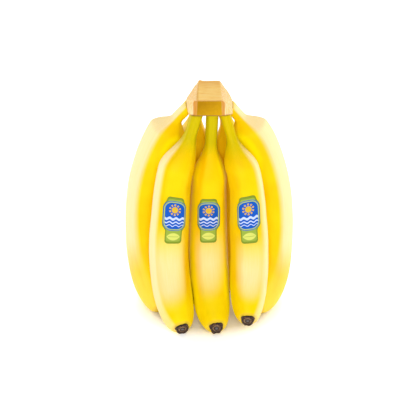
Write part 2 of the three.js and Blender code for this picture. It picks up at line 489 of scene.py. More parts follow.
@dataclass(frozen=True)
class CutCrown:
    """The woody head: knife-cut fibrous tissue, dried to a dull tan, with ochre skin in front.

    The cut face is streaked from side to side by its fibres and goes darker at the rim.
    """

    cut_pale: str = "#FED682"
    cut_tan: str = "#FAC86C"
    cut_rust: str = "#DE9A42"
    side_pale: str = "#FBDCA6"
    side_tan: str = "#F3C684"
    skin_ochre: str = "#AC7B02"
    skin_bright: str = "#CC9A08"
    cheek_orange: str = "#CC8420"
    # Painted shade along the crown's front foot and underside.
    foot_shade_brown: str = "#7C4E12"
    fibre_width: float = 1.1  # mm
    fibre_length: float = 14.0  # mm
    cut_wander: float = 0.4
    grain_size: float = 2.6  # mm
    mottle: float = 0.12
    relief: float = 0.4  # mm

    def material(self) -> bpy.types.Material:
        """Builds the crown's material.

        Returns:
            A material that reads the crown mesh's values place, cut, skin, tone, cheek, rim and the
            painted shade along its foot.
        """
        material, tree, output = new_material("crown_cut_fibrous")
        place = add_node(tree, "ShaderNodeAttribute", attribute_name="place").outputs["Vector"]
        cut, skin, tone, cheek, rim, lip = (
            add_node(tree, "ShaderNodeAttribute", attribute_name=name).outputs["Fac"]
            for name in ("cut", "skin", "tone", "cheek", "rim", "lip")
        )

        # Fibres lie from side to side over the cut, and up and down the sides.
        thin, drawn = 1 / self.fibre_width, 1 / self.fibre_length
        cut_fibres, side_fibres = (
            add_node(
                tree,
                "ShaderNodeTexNoise",
                {
                    "Vector": add_node(
                        tree, "ShaderNodeMapping", {"Vector": place, "Scale": scale}
                    ).outputs[0],
                    "Scale": 1.0,
                    "Detail": 4.0,
                    "Roughness": 0.6,
                    "Distortion": wander,
                },
            ).outputs["Fac"]
            for scale, wander in (
                ((drawn, thin, thin), self.cut_wander),
                ((thin, thin, drawn), 0.0),
            )
        )
        grain = add_node(
            tree,
            "ShaderNodeTexNoise",
            {"Vector": place, "Scale": 1 / self.grain_size, "Detail": 5.0},
        ).outputs["Fac"]
        mottled = add_node(
            tree,
            "ShaderNodeMapRange",
            {"Value": grain, 1: 0.3, 2: 0.7, 3: -self.mottle, 4: self.mottle},
        ).outputs["Result"]
        skin_tone = add_node(
            tree, "ShaderNodeMath", {0: tone, 1: mottled}, operation="ADD"
        ).outputs[0]

        cut_ramp, side_ramp, skin_ramp = (
            add_node(tree, "ShaderNodeValToRGB", {"Fac": value})
            for value in (cut_fibres, side_fibres, skin_tone)
        )
        ramp_stops(
            cut_ramp,
            [
                (0.2, self.cut_rust),
                (0.38, self.cut_tan),
                (0.58, self.cut_pale),
                (0.85, self.side_pale),
            ],
        )
        ramp_stops(side_ramp, [(0.3, self.cut_tan), (0.45, self.side_tan), (0.6, self.side_pale)])
        ramp_stops(skin_ramp, [(0.1, self.skin_ochre), (0.9, self.skin_bright)])

        layers = [
            (cut, cut_ramp.outputs["Color"]),
            (skin, skin_ramp.outputs["Color"]),
            (cheek, self.cheek_orange),
            (rim, self.cut_rust),
            # Painted shade along the front foot and underside.
            (lip, self.foot_shade_brown),
        ]
        colour = paint_over(tree, side_ramp.outputs["Color"], layers)
        relief = add_node(
            tree, "ShaderNodeMix", {0: cut, 2: side_fibres, 3: cut_fibres}, data_type="FLOAT"
        ).outputs[0]
        bump = add_node(
            tree,
            "ShaderNodeBump",
            {"Height": relief, "Strength": 0.4, "Distance": self.relief * MM},
        ).outputs["Normal"]
        shader = add_node(
            tree,
            "ShaderNodeBsdfPrincipled",
            {
                "Base Color": colour,
                "Roughness": 0.78,
                "Normal": bump,
                "IOR": 1.45,
                "Specular IOR Level": 0.12,
            },
        )
        tree.links.new(shader.outputs["BSDF"], output.inputs["Surface"])
        return material


@dataclass(frozen=True)
class DriedBlossom:
    """The dried flower scar: shrivelled, corky and matt, near black, with a grey middle.

    A paler brown ring of torn flakes runs round the middle, broken by the crumbs of the cork.
    """

    char: str = "#170C08"
    bark: str = "#3A231A"
    cork: str = "#80593C"
    flake: str = "#B08A64"
    grey: str = "#6A6260"
    crumb_size: float = 0.9  # mm
    ring_least: float = 0.1
    relief: float = 0.5  # mm

    def material(self) -> bpy.types.Material:
        """Builds the blossom end's material.

        Returns:
            A material that reads the values place, crest, ring and core of a blossom end's mesh.
        """
        material, tree, output = new_material("blossom_end_dried")
        place = add_node(tree, "ShaderNodeAttribute", attribute_name="place").outputs["Vector"]
        crest, ring, core = (
            add_node(tree, "ShaderNodeAttribute", attribute_name=name).outputs["Fac"]
            for name in ("crest", "ring", "core")
        )
        crumbs = add_node(
            tree,
            "ShaderNodeTexNoise",
            {"Vector": place, "Scale": 1 / self.crumb_size, "Detail": 4.0},
        ).outputs["Fac"]
        broken = add_node(
            tree,
            "ShaderNodeMapRange",
            {"Value": crumbs, 1: 0.4, 2: 0.62, 3: self.ring_least, 4: 1.0},
        ).outputs["Result"]
        height, ring_share = (
            add_node(tree, "ShaderNodeMath", {0: one, 1: other}, operation="MULTIPLY").outputs[0]
            for one, other in ((crumbs, crest), (ring, broken))
        )
        body = add_node(tree, "ShaderNodeValToRGB", {"Fac": height})
        ramp_stops(body, [(0.2, self.char), (0.45, self.bark), (0.75, self.cork)])

        layers = [(ring_share, self.flake), (core, self.grey)]
        colour = paint_over(tree, body.outputs["Color"], layers)
        bump = add_node(
            tree,
            "ShaderNodeBump",
            {"Height": crumbs, "Strength": 0.8, "Distance": self.relief * MM},
        ).outputs["Normal"]
        shader = add_node(
            tree,
            "ShaderNodeBsdfPrincipled",
            {"Base Color": colour, "Roughness": 0.82, "Normal": bump, "IOR": 1.5},
        )
        tree.links.new(shader.outputs["BSDF"], output.inputs["Surface"])
        return material


@dataclass(frozen=True)
class PrintedLabel:
    """A fruit label: thin coated paper with an offset print, satin, with flat clean colours.

    The print is a plain one: a sun over three waves on a blue panel, and a leaf on a green ground.
    Its sizes are millimetres from the label's middle, with +Y towards the crown.
    """

    ground: str = "#97AC3C"
    ground_edge: str = "#7C9222"
    panel: str = "#0054BE"
    line: str = "#B4C63C"
    sun: str = "#D9B02C"
    wave: str = "#C6D4F4"
    leaf: str = "#D6DA66"
    roughness: float = 0.4
    print_edge: float = 0.16  # over which the ink ends

    # A box's middle, then half its width and height without the round corners.
    ground_box: Quadruple = (0.0, 0.0, 4.6, 18.2)
    ground_corner: float = 2.2
    panel_box: Quadruple = (0.0, 4.6, 2.6, 6.2)
    panel_corner: float = 8.0
    line_corner: float = 6.9
    line_half: float = 0.42
    wave_corner: float = 6.3
    waves: tuple[Pair, ...] = ((2.0, 1.15), (-1.7, 0.6), (-4.7, 0.4))
    wave_pace: float = 1.05  # radians to a millimetre
    wave_swing: float = 0.75
    sun_height: float = 10.4
    sun_radius: float = 3.0
    rays: float = 10.0
    ray_radius: float = 4.6
    ray_half: float = 0.85
    leaf_height: float = -15.6
    leaf_bow: float = 3.4
    leaf_round: float = 7.0
    rib_half: float = 0.22
    rib_reach: float = 4.8

    def material(self) -> bpy.types.Material:
        """Builds the label's material.

        Returns:
            A material that reads the value print of a label's mesh, its place on the label.
        """
        material, tree, output = new_material("label_printed_paper")
        place = add_node(tree, "ShaderNodeAttribute", attribute_name="print").outputs["Vector"]
        axes = add_node(tree, "ShaderNodeSeparateXYZ", {"Vector": place}).outputs
        across, up = axes["X"], axes["Y"]

        def below(value: Socket, limit: float) -> Socket:
            """1 where the value is under the limit and 0 above it, with the ink's soft edge."""
            start, end = limit - self.print_edge, limit + self.print_edge
            return add_node(
                tree, "ShaderNodeMapRange", {"Value": value, 1: start, 2: end, 3: 1.0, 4: 0.0}
            ).outputs["Result"]

        def stroke(value: Socket, middle: float, half: float) -> Socket:
            """1 where the value is within half a stroke of its middle, and 0 elsewhere."""
            off = add_node(tree, "ShaderNodeMath", {0: value, 1: middle}, operation="SUBTRACT")
            size = add_node(tree, "ShaderNodeMath", {0: off.outputs[0]}, operation="ABSOLUTE")
            return below(size.outputs[0], half)

        def both(one: Socket, other: Socket) -> Socket:
            """The share of ink where two shapes overlap."""
            shares = {0: one, 1: other}
            return add_node(tree, "ShaderNodeMath", shares, operation="MULTIPLY").outputs[0]

        def swinging(value: Socket, wave: str, pace: float, height: float) -> Socket:
            """A sine or cosine of the value."""
            for operation, other in (("MULTIPLY", pace), (wave, 0.0), ("MULTIPLY", height)):
                value = add_node(
                    tree, "ShaderNodeMath", {0: value, 1: other}, operation=operation
                ).outputs[0]
            return value

        def off_box(x: float, y: float, half_width: float, half_height: float) -> Socket:
            """How far a place is outside a box on the label."""
            past = place
            for operation, other in (
                ("SUBTRACT", (x, y, 0.0)),
                ("ABSOLUTE", (0.0, 0.0, 0.0)),
                ("SUBTRACT", (half_width, half_height, 1.0)),
                ("MAXIMUM", (0.0, 0.0, 0.0)),
            ):
                past = add_node(
                    tree, "ShaderNodeVectorMath", {0: past, 1: other}, operation=operation
                ).outputs[0]
            away = add_node(tree, "ShaderNodeVectorMath", {0: past}, operation="LENGTH")
            return away.outputs["Value"]

        ground_off, panel_off = off_box(*self.ground_box), off_box(*self.panel_box)
        sun_off, upper_off, lower_off = (
            add_node(
                tree, "ShaderNodeVectorMath", {0: place, 1: (0.0, y, 0.0)}, operation="DISTANCE"
            ).outputs["Value"]
            for y in (
                self.sun_height,
                self.leaf_height + self.leaf_bow,
                self.leaf_height - self.leaf_bow,
            )
        )
        swing = swinging(across, "SINE", self.wave_pace, self.wave_swing)
        rise, wave_height = (
            add_node(tree, "ShaderNodeMath", {0: up, 1: level}, operation="SUBTRACT").outputs[0]
            for level in (self.sun_height, swing)
        )
        turn = add_node(tree, "ShaderNodeMath", {0: across, 1: rise}, operation="ARCTAN2")
        rays = below(swinging(turn.outputs[0], "COSINE", self.rays, -1.0), 0.0)
        sea = below(panel_off, self.wave_corner)
        leaf = both(below(upper_off, self.leaf_round), below(lower_off, self.leaf_round))
        rib = stroke(up, self.leaf_height, self.rib_half)
        rib = both(rib, stroke(across, 0.0, self.rib_reach))

        colour = paint_over(
            tree,
            linear(self.ground_edge),
            [
                (below(ground_off, self.ground_corner), self.ground),
                (below(panel_off, self.panel_corner), self.panel),
                (stroke(panel_off, self.line_corner, self.line_half), self.line),
                (below(sun_off, self.sun_radius), self.sun),
                (both(stroke(sun_off, self.ray_radius, self.ray_half), rays), self.sun),
                *((both(stroke(wave_height, *wave), sea), self.wave) for wave in self.waves),
                (leaf, self.leaf),
                (rib, self.ground),
            ],
        )
        shader = add_node(
            tree,
            "ShaderNodeBsdfPrincipled",
            {
                "Base Color": colour,
                "Roughness": self.roughness,
                "IOR": 1.46,
                "Specular IOR Level": 0.2,
            },
        )
        tree.links.new(shader.outputs["BSDF"], output.inputs["Surface"])
        return material


@dataclass(frozen=True)
class PaintedFloor:
    """A matt white painted board that glows, but dimly under the bunch, as a painted shadow."""

    white: str = "#F6F6F4"
    light: str = "#FFFFFF"
    # A painted shadow: the glow is dim under the bunch, full past it, and grows far off.
    shadow_glow: float = 0.02
    glow: float = 0.45
    far_glow: float = 0.2
    # Metres from the bunch's middle, less across, because the bunch is wider than it is deep.
    under: float = 0.045
    near: float = 0.061
    far: float = 0.9
    stretch: Triple = (0.8, 1.0, 1.0)

    def material(self) -> bpy.types.Material:
        """Builds the floor's material.

        Returns:
            A material that glows by its distance from the frame's origin.
        """
        material, tree, output = new_material("floor_white_matt")
        place = add_node(
            tree,
            "ShaderNodeVectorMath",
            {0: add_node(tree, "ShaderNodeTexCoord").outputs["Object"], 1: self.stretch},
            operation="MULTIPLY",
        ).outputs[0]
        away = add_node(
            tree, "ShaderNodeVectorMath", {0: place}, operation="LENGTH"
        ).outputs["Value"]
        # A painted shadow: little glow under the bunch, full glow past it, and more far off.
        close, spread = (
            add_node(
                tree, "ShaderNodeMapRange", {"Value": away, 1: start, 2: end, 3: first, 4: last}
            ).outputs["Result"]
            for start, end, first, last in (
                (self.under, self.near, self.shadow_glow, self.glow),
                (self.near, self.far, 0.0, self.far_glow),
            )
        )
        shader = add_node(
            tree,
            "ShaderNodeBsdfPrincipled",
            {
                "Base Color": linear(self.white),
                "Roughness": 0.9,
                "IOR": 1.3,
                "Emission Color": linear(self.light),
                "Emission Strength": add_node(
                    tree, "ShaderNodeMath", {0: close, 1: spread}, operation="ADD"
                ).outputs[0],
            },
        )
        tree.links.new(shader.outputs["BSDF"], output.inputs["Surface"])
        return material


class Finish(Enum):
    """The finishes of the bunch, by the material slot that each is recorded under."""

    PEEL = "peel"
    CROWN = "crown"
    BLOSSOM = "blossom_end"
    LABEL = "label"


# ------------------------------------------------------------------------------------------------
# The bunch
# ------------------------------------------------------------------------------------------------


@dataclass(frozen=True)
class Hump:
    """A bulge on the outer side of a finger's shoulder, in millimetres along it from its root."""

    height: float
    start: float
    peak: float
    end: float


@dataclass(frozen=True)
class LabelPlace:
    """Where a label is on a finger.

    Its middle is given in millimetres from the finger's root and in degrees round from its front
    towards -X, and its height in millimetres along the finger.
    """

    along: float
    round: float
    height: float


@dataclass(frozen=True)
class Crown:
    """The head of the bunch, a block cut flat on top with a skin-covered facet in front."""

    # Corners in pairs: left X, right X, Y and Z.
    pairs: tuple[Quadruple, ...] = (
        (-11.2, 10.8, -14.4, 212.2),  # front of the cut face
        (-10, 9.6, 19, 219.8),  # back of the cut face
        (-11.6, 11.2, -15.6, 198.4),  # foot of the skin
        (-14, 13.2, -12.2, 211.4),  # top of the cheeks
        (-15, 14, -13.6, 197.6),  # foot of the cheeks
        (-18.8, 20.8, -10.3, 197.8),  # foot at the outer front necks
        (-21.3, 20.6, 5, 206.9),  # top of the sides
        (-19.6, 20.6, -2, 197.3),  # foot of the sides
        (-18, 18, 17, 208),  # top of the back
        (-14, 14, 22, 200),  # foot of the back
    )
    cut_aim: Triple = (0.0, -7.6, 33.0)  # the way that the cut face looks
    same_plane: float = 0.9995  # cosine between two faces that count as one
    edge_sharpness: float = 90.0
    cuts: int = 52

    fibre_length: float = 9.0
    cut_fibre_width: float = 0.9
    side_fibre_width: float = 1.1
    fibre_relief: float = 0.3
    lump_size: float = 6.0
    lump_relief: float = 0.25
    nub_place: Pair = (-9.0, 17.5)  # where the cut's back corner stands up
    nub_reach: float = 2.2
    nub_height: float = 1.1

    # Where each look begins and ends, by how squarely the surface faces its way (a cosine).
    cut_facing: Pair = (0.90, 0.975)
    skin_facing: Pair = (0.93, 0.985)
    cheek_facing: Pair = (0.5, 0.7)
    foot_facing: Pair = (0.35, 0.8)
    # And by the place from the crown's own origin.
    cheek_sides: Pair = (13.6, 14.6)
    rim_back: Pair = (2.0, 19.0)
    rim_left: Pair = (9.2, 10.8)
    # Where the painted shade runs along the front foot.
    lip_front: Pair = (11.0, 14.0)
    lip_height: Pair = (197.9, 199.2)

    def corners(self) -> Rows:
        """The block's corners, one to a row, in the frame."""
        rows = [(x, y, z) for left, right, y, z in self.pairs for x in (left, right)]
        return np.array(rows) + CROWN_TO_ORIGIN

    def planes(self) -> tuple[Rows, Rows, Rows]:
        """The block's faces as planes.

        Returns:
            The middle of the corners, each face's outward direction, and its distance from the
            middle.
        """
        corners = self.corners()
        middle = corners.mean(0)
        block = bmesh.new()
        for corner in corners - middle:
            block.verts.new(corner)
        bmesh.ops.convex_hull(block, input=block.verts)
        block.normal_update()
        normals, distances = [], []
        for face in block.faces:
            normal = face.normal.copy()
            distance = normal.dot(face.verts[0].co)
            if distance < 0:
                normal, distance = -normal, -distance
            if all(normal.dot(Vector(known)) < self.same_plane for known in normals):
                normals.append(tuple(normal))
                distances.append(distance)
        block.free()
        return middle, np.array(normals), np.array(distances)

    def outside(self, points: Rows) -> Rows:
        """How far each point is outside the block, in millimetres, and below 0 inside it."""
        middle, normals, distances = self.planes()
        return ((points - middle) @ normals.T - distances).max(-1)

    def build(self) -> bpy.types.Object:
        """Makes the crown's mesh.

        Returns:
            The crown, with values for its cut face, skin, tone, cheeks, rim and painted foot shade.
        """
        middle, normals, distances = self.planes()
        cube = bmesh.new()
        bmesh.ops.create_cube(cube, size=2.0)
        bmesh.ops.subdivide_edges(cube, edges=cube.edges, cuts=self.cuts, use_grid_fill=True)
        directions = unit(np.array([vert.co for vert in cube.verts]))
        faces = [[vert.index for vert in face.verts] for face in cube.faces]
        cube.free()
        facing = np.maximum(directions @ normals.T / distances, 0.0)
        reach = (facing**self.edge_sharpness).sum(-1) ** (-1 / self.edge_sharpness)
        points = middle + directions * reach[:, None]
        outward = vertex_normals(points, faces)

        # Each look goes by which way the surface faces, and by its place in millimetres.
        place = points - CROWN_TO_ORIGIN
        x, y, z = place.T
        cut = ease(outward @ unit(self.cut_aim), *self.cut_facing)
        front = ease(-outward[:, 1], *self.skin_facing)
        cheek = 0.85 * ease(-outward[:, 1], *self.cheek_facing) * (1 - front) * (1 - cut)
        cheek *= 1 - ease(np.abs(x + 0.5), *self.cheek_sides)
        rim = 0.5 * ease(y, *self.rim_back) + 0.55 * ease(-x, *self.rim_left)
        rim = cut * np.clip(rim, 0, 0.75)
        # Painted shade along the front foot, and on the faces that look down.
        lip = ease(-y, *self.lip_front) * (1 - ease(z, *self.lip_height))
        lip = np.clip(lip + 0.5 * ease(-outward[:, 2], *self.foot_facing), 0, 0.8)
        tone = np.clip(0.5 + 0.03 * x - 0.045 * (z - 205.0), 0, 1)

        long, thin, wide = self.fibre_length, self.cut_fibre_width, self.side_fibre_width
        cut_fibres = soft_noise(place, (long, thin, thin), 3.1)
        side_fibres = soft_noise(place, (wide, wide, long), 5.3)
        height = cut * cut_fibres + (1 - cut) * (1 - front) * side_fibres
        height = self.fibre_relief * height
        height += self.lump_relief * soft_noise(points, self.lump_size, 7.7)
        from_nub = np.hypot(x - self.nub_place[0], y - self.nub_place[1])
        height += self.nub_height * cut * np.exp(-((from_nub / self.nub_reach) ** 2))
        points = points + outward * height[:, None]
        values = {"place": place, "cut": cut, "skin": front, "tone": tone}
        values |= {"cheek": cheek, "rim": rim, "lip": lip}
        return mesh_object("crown_cut_head", points, faces, values)


@dataclass(frozen=True)
class Finger:
    """One banana: its neck's root on the crown, the way it bends, and its girth, in millimetres.

    Leans are millimetres along X and Y for each millimetre of drop. The tip's aim is in degrees
    from straight down and from the front towards +X, and the roll is in degrees.
    """

    name: str
    root: Triple
    neck_lean: Pair
    body_lean: Pair
    tip_aim: Pair
    length: float
    girth: float  # its mean radius at its thickest
    lag: float  # more than 1 bends it later
    roll: float
    sunk: float = 0.0  # how much farther it reaches up into the crown
    neck_length: float = 26.0
    shoulder_length: float = 36.0
    hump: Hump | None = None
    label: LabelPlace | None = None
    green: float = 1.0
    flare: float = 0.7
    # The painted highlight: how much of the flank has it, to which side, and how much the belly has.
    painted_highlight_side: float = 0.0  # how much of the flank is pale, and to which side
    painted_highlight_belly: float = 1.0
    stub: float = 0.95  # the dried end's size, as a share of its usual one
    shelter: float = 10.0  # how far from its neighbour the peel is sheltered from the light
    seed: float = 0.0

    neck_radius: float = 5.6
    tip_radius: float = 6.6
    taper_length: float = 46.0
    first_girth: float = 0.95
    swell_length: float = 70.0
    ridges: int = 5
    ridge_sharpness: float = 16.0
    mean_polygon: float = 1.068
    # How far the section goes from round to five-sided: at the neck, and what the body adds and
    # the end takes away.
    angular: Triple = (0.36, 0.12, 0.2)
    angular_start: Pair = (24.0, 60.0)
    angular_end: float = 40.0  # before the finger's end
    # Unevenness of the skin: its relief, the size of its lumps and its step of seed.
    uneven: tuple[Triple, ...] = ((0.34, 34.0, 0.0), (0.12, 11.0, 0.3))
    flute_relief: float = 0.07
    flute_pace: Triple = (0.45, 0.45, 0.05)  # to a millimetre
    thinned: float = 0.4  # how much thinner the neck is inside the crown
    flare_reach: float = 1.6
    join_reach: float = 4.0  # how far below the neck's length it can still meet the crown
    thinned_depth: Pair = (1.5, 5.5)
    seed_spacing: float = 400.0  # between the fingers, in the peel's pattern

    # The painted highlight on a flank, wide or narrow: how far it faces that side (a cosine), and
    # the distances from the root over which it starts and fades.
    wide_tilt: float = 0.55  # how much it leans over the top
    wide_facing: Pair = (0.28, 0.62)
    wide_start: Pair = (2.0, 14.0)
    wide_end: Pair = (145.0, 190.0)
    narrow_facing: Pair = (0.54, 0.8)
    narrow_start: float = 20.0  # below the neck
    narrow_end: Pair = (170.0, 215.0)
    # The painted highlight on the lower belly: how far it faces the front, and where it starts and
    # fades.
    belly_facing: Pair = (0.5, 0.95)
    belly_start: Pair = (106.0, 150.0)
    belly_end: Pair = (174.0, 206.0)

    # Distances over which the other looks change: from the root, from the end or off the crown.
    green_end: Pair = (24.0, 56.0)
    seam_start: Pair = (14.0, 40.0)
    # The painted seam light, as a share of the shelter, and the lemon tint towards the end.
    seam_light_span: Pair = (0.1, 0.6)  # as a share of the shelter
    end_lemon_span: Pair = (50.0, 12.0)
    tip_end: Pair = (2.6, 0.2)
    join_end: Pair = (0.0, 1.4)

    sides: int = 100
    ring_step: float = 1.15
    end_rings: int = 56
    end_crowding: float = 1.7
    march_step: float = 0.5
    seam_stride: int = 8
    into_crown: float = 2.0

    def start(self) -> float:
        """Where the finger begins, inside the crown, by distance from its root."""
        return -self.sunk - self.into_crown

    def directions(self, s: Rows) -> Rows:
        """Which way the finger runs at each distance from its root."""
        from_down, towards_x = (math.radians(angle) for angle in self.tip_aim)
        neck = unit([*self.neck_lean, -1.0])
        body = unit([*self.body_lean, -1.0])
        tip = np.array(
            [
                math.sin(from_down) * math.sin(towards_x),
                -math.sin(from_down) * math.cos(towards_x),
                -math.cos(from_down),
            ]
        )
        t = (np.clip(np.asarray(s) / self.length, 0, 1) ** self.lag)[..., None]
        return unit((1 - t) ** 2 * neck + 2 * t * (1 - t) * body + t**2 * tip)

    def centreline(self) -> tuple[Rows, Rows, Rows, Rows]:
        """Marches down the finger.

        Returns:
            Distances from the root, and at each the middle of the finger, its direction and its
            front.
        """
        start = self.start()
        s = np.arange(start, self.length + 4 * self.march_step, self.march_step)
        ahead = self.directions(s)
        steps = self.directions(s[:-1] + self.march_step / 2) * self.march_step
        root = np.array(self.root) + CROWN_TO_ORIGIN
        middle = root + ahead[0] * start + np.vstack([np.zeros(3), np.cumsum(steps, 0)])
        front = np.array([0.0, -1.0, 0.0])
        fronts = []
        for way in ahead:
            front = unit(front - way * (front @ way))
            fronts.append(front)
        if self.hump:
            middle = middle + self.hump_offsets(s, ahead)
        return s, middle, ahead, np.array(fronts)

    def hump_offsets(self, s: Rows, ahead: Rows) -> Rows:
        """How far the shoulder's bulge shifts the finger outwards at each distance."""
        hump = self.hump
        rise = ease(s, hump.start, hump.peak) * (1 - ease(s, hump.peak, hump.end))
        outward = unit([*self.neck_lean, 0.0])
        outward = unit(outward - ahead * (ahead @ outward)[:, None])
        return outward * (hump.height * rise)[:, None]

    def radii(self, s: Rows) -> Rows:
        """The finger's mean radius at each distance from its root."""
        shoulder_end = self.neck_length + self.shoulder_length
        swell = ease(s, shoulder_end, shoulder_end + self.swell_length)
        body = self.girth * (self.first_girth + (1 - self.first_girth) * swell)
        grown = ease(s, self.neck_length, shoulder_end)
        upper = self.neck_radius + (body - self.neck_radius) * grown
        left = np.clip((self.length - s) / self.taper_length, 0, 1)
        closing = (1 - (1 - left) ** 2.8) ** 0.6
        return np.minimum(upper, self.tip_radius + (self.girth - self.tip_radius) * closing)

    def ridge_factors(self, angle: Rows) -> Rows:
        """The rounded five-sided section, about 1, with a ridge at angle 0."""
        total = np.zeros_like(angle)
        for k in range(self.ridges):
            facing = np.cos(angle - 2 * math.pi * (k + 0.5) / self.ridges)
            total += np.maximum(facing, 0) ** self.ridge_sharpness
        return total ** (-1 / self.ridge_sharpness) / self.mean_polygon

    def skin(self, s: Rows, angle: Rows, lift: float = 0.0) -> tuple[Rows, Rows, Rows]:
        """Places on the peel.

        Args:
            s: Distances from the root.
            angle: Angles round the finger, from its front towards -X.
            lift: How far above the peel, in millimetres.

        Returns:
            The places, the same places on the straightened finger, and how near each is to a
            ridge.
        """
        line, *lines = self.centreline()
        at_middle, at_ahead, at_front = (read_along(s, line, rows) for rows in lines)
        at_side = np.cross(unit(at_ahead), at_front)
        polygon = self.ridge_factors(angle - math.radians(self.roll))
        neck, body, end = self.angular
        share = neck + body * ease(s, *self.angular_start)
        share = share - end * ease(s, self.length - self.angular_end, self.length)
        mean = self.radii(s)
        straight = np.stack([mean * np.cos(angle), mean * np.sin(angle), s + 0 * angle], -1)
        uneven = sum(
            relief * soft_noise(straight, grain, self.seed + step)
            for relief, grain, step in self.uneven
        )
        flutes = soft_noise(straight * np.array(self.flute_pace), 1.0, self.seed + 0.6)
        uneven = uneven + self.flute_relief * flutes
        radius = mean * (1 + share * (polygon - 1)) + uneven.reshape(mean.shape) + lift
        places = (
            at_middle
            + at_front * (radius * np.cos(angle))[..., None]
            + at_side * (radius * np.sin(angle))[..., None]
        )
        low, high = 1 / self.mean_polygon, self.ridge_factors(np.zeros(1))[0]
        return places, straight, np.clip((polygon - low) / (high - low), 0, 1) ** 4

    def bloom(self, outward: Rows, distance: Rows) -> Rows:
        """Where a pale cream highlight is painted on the peel, on a flank and on the lower belly.

        Args:
            outward: From the finger's middle to each place on its skin.
            distance: The places' distances from the root.

        Returns:
            How strong the painted highlight is, from 0 to 1.
        """
        x, y, z = unit(outward).T
        x = x * np.sign(self.painted_highlight_side)
        if abs(self.painted_highlight_side) >= 1:  # the whole flank, from the neck down
            sideways = ease(x + self.wide_tilt * z, *self.wide_facing)
            sideways *= ease(distance, *self.wide_start)
            sideways *= 1 - 0.85 * ease(distance, *self.wide_end)
        else:
            start = self.neck_length
            sideways = ease(x, *self.narrow_facing)
            sideways *= ease(distance, start, start + self.narrow_start)
            sideways *= 1 - 0.4 * ease(distance, *self.narrow_end)
        flank = abs(self.painted_highlight_side) * sideways
        belly = ease(distance, *self.belly_start) * (1 - ease(distance, *self.belly_end))
        belly *= ease(-y, *self.belly_facing)
        return np.clip(flank + 0.8 * self.painted_highlight_belly * belly, 0, 0.95)

    def rings(self) -> Rows:
        """Distances of the rings, closer together where the end closes."""
        body = np.arange(self.start(), self.length - self.taper_length, self.ring_step)
        left = 1 - np.arange(self.end_rings + 1) / self.end_rings
        end = self.length - self.taper_length * left**self.end_crowding
        return np.concatenate([body, end])

    def seam(self, points: Rows, others: Sequence[Finger]) -> Rows:
        """Where the other fingers lie close.

        Args:
            points: Places on this finger.
            others: The fingers beside it.

        Returns:
            How close the nearest one is, from 0 to 1.
        """
        clearance = np.full(len(points), 99.0)
        for other in others:
            line, middle, _, _ = other.centreline()
            radii = other.radii(line[:: self.seam_stride])
            for place, radius in zip(middle[:: self.seam_stride], radii, strict=True):
                gap = np.linalg.norm(points - place, axis=-1) - radius
                clearance = np.minimum(clearance, gap)
        return np.clip(1 - clearance / self.shelter, 0, 1)

    def build(self, crown: Crown, others: Sequence[Finger]) -> bpy.types.Object:
        """Makes the finger's mesh.

        Args:
            crown: The crown, which the neck widens into.
            others: The fingers beside it.

        Returns:
            The finger, with values for its straightened place, green, tip, ridge, join, painted
            highlight, seam, and painted seam light with a lemon tint towards the end.
        """
        rings = self.rings()
        s, angle = np.meshgrid(rings, angles_round(self.sides), indexing="ij")
        places, straight, ridge = self.skin(s, angle)
        line, middle, _, _ = self.centreline()
        centres = read_along(s, line, middle)

        # Inside the crown the neck thins, and where it comes out it flares.
        deep = -crown.outside(centres.reshape(-1, 3)).reshape(s.shape)
        thinned = 1 - self.thinned * ease(deep, *self.thinned_depth)
        places = centres + (places - centres) * thinned[..., None]
        flat, centres = places.reshape(-1, 3), centres.reshape(-1, 3)
        distance = s.ravel()
        out = crown.outside(flat)
        near_crown = distance < self.neck_length + self.join_reach
        spread = self.flare * np.exp(-np.maximum(out, 0) / self.flare_reach) * near_crown
        flat = flat + unit(flat - centres) * spread[:, None]
        flat[:, 2] = np.maximum(flat[:, 2], 0.0)

        lemon_start, lemon_full = (self.length - left for left in self.end_lemon_span)
        tip_start, tip_full = (self.length - left for left in self.tip_end)
        green = self.green * (1 - ease(distance, *self.green_end))
        tip = 0.5 * ease(distance, tip_start, tip_full)
        join = 0.8 * (1 - ease(out, *self.join_end)) * near_crown
        seam = self.seam(flat, others) * ease(distance, *self.seam_start)
        # Painted light: the yellow turns lemon where a neighbour shades the seam, and towards the
        # end.
        late = 0.9 * ease(seam, *self.seam_light_span)
        late = np.maximum(late, 0.3 * ease(distance, lemon_start, lemon_full))
        straight = straight.reshape(-1, 3) + np.array([0, 0, self.seed_spacing * self.seed])

        first, last = middle[0], middle[-3]
        points = np.vstack([flat, first, last])
        values = {
            "straight": np.vstack([straight, [0, 0, rings[0]], [0, 0, rings[-1]]]),
            "green": np.append(green, [self.green, 0]),
            "tip": np.append(tip, [0, 1]),
            "ridge": np.append(ridge.ravel(), [0, 0]),
            "join": np.append(join, [1, 0]),
            "bloom": np.append(self.bloom(flat - centres, distance), [0, 0]),
            "seam": np.append(seam, [0, 0]),
            "late": np.append(late, [0, 0]),
        }
        return mesh_object(
            f"peel_{self.name}", points, tube_faces(len(rings), self.sides), values
        )


